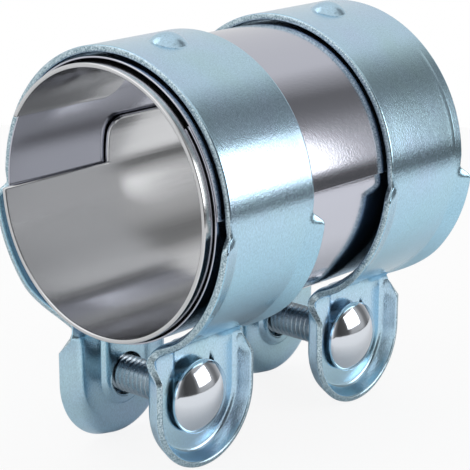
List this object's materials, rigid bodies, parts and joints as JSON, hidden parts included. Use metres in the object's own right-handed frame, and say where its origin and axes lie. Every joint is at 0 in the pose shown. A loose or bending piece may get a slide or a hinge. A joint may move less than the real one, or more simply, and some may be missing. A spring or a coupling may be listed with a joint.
{
  "type": "exhaust clamp",
  "caption": "Sleeve clamp for joining two exhaust pipe ends, with bands round a slotted sleeve, closed by a bolt through the ears of each band.",
  "frame": {"origin": "middle of the sleeve, on the axis of its bore", "axes": "Y runs along the bore, with the front end at -Y; the bolt heads face +X; the ears of the bands hang down towards -Z"},
  "size_m": [0.0652, 0.084, 0.0899],
  "materials": {
    "sleeve": "satin stainless sheet",
    "cover": "bright rolled stainless sheet with a faint lilac cast",
    "band": "light blue zinc plating on pressed steel",
    "bolt": "bright plated steel",
    "nut": "zinc plated steel"
  },
  "bodies": {
    "clamp": {"inner_sleeve": "sleeve", "cover_sheet": "cover", "front_band": "band", "rear_band": "band", "front_bolt": "bolt", "rear_bolt": "bolt"},
    "front_washer": {"front_washer": "nut"},
    "front_nut": {"front_nut": "nut"},
    "rear_washer": {"rear_washer": "nut"},
    "rear_nut": {"rear_nut": "nut"}
  },
  "joints": [
    {"name": "front_washer_slide", "type": "slide", "parent": "clamp", "child": "front_washer", "axis": [-1, 0, 0], "range_m": [0, 0.0076]},
    {"name": "front_nut_turn", "type": "hinge", "parent": "front_washer", "child": "front_nut", "pos_m": [-0.0128, -0.0255, -0.04195], "axis": [-1, 0, 0], "range_deg": [0, 2160]},
    {"name": "rear_washer_slide", "type": "slide", "parent": "clamp", "child": "rear_washer", "axis": [-1, 0, 0], "range_m": [0, 0.0076]},
    {"name": "rear_nut_turn", "type": "hinge", "parent": "rear_washer", "child": "rear_nut", "pos_m": [-0.0128, 0.0255, -0.04195], "axis": [-1, 0, 0], "range_deg": [0, 2160]}
  ],
  "couplings": [
    {"joint": "front_washer_slide", "follows": "front_nut_turn", "m_per_rad": 0.00019894},
    {"joint": "rear_washer_slide", "follows": "rear_nut_turn", "m_per_rad": 0.00019894}
  ]
}
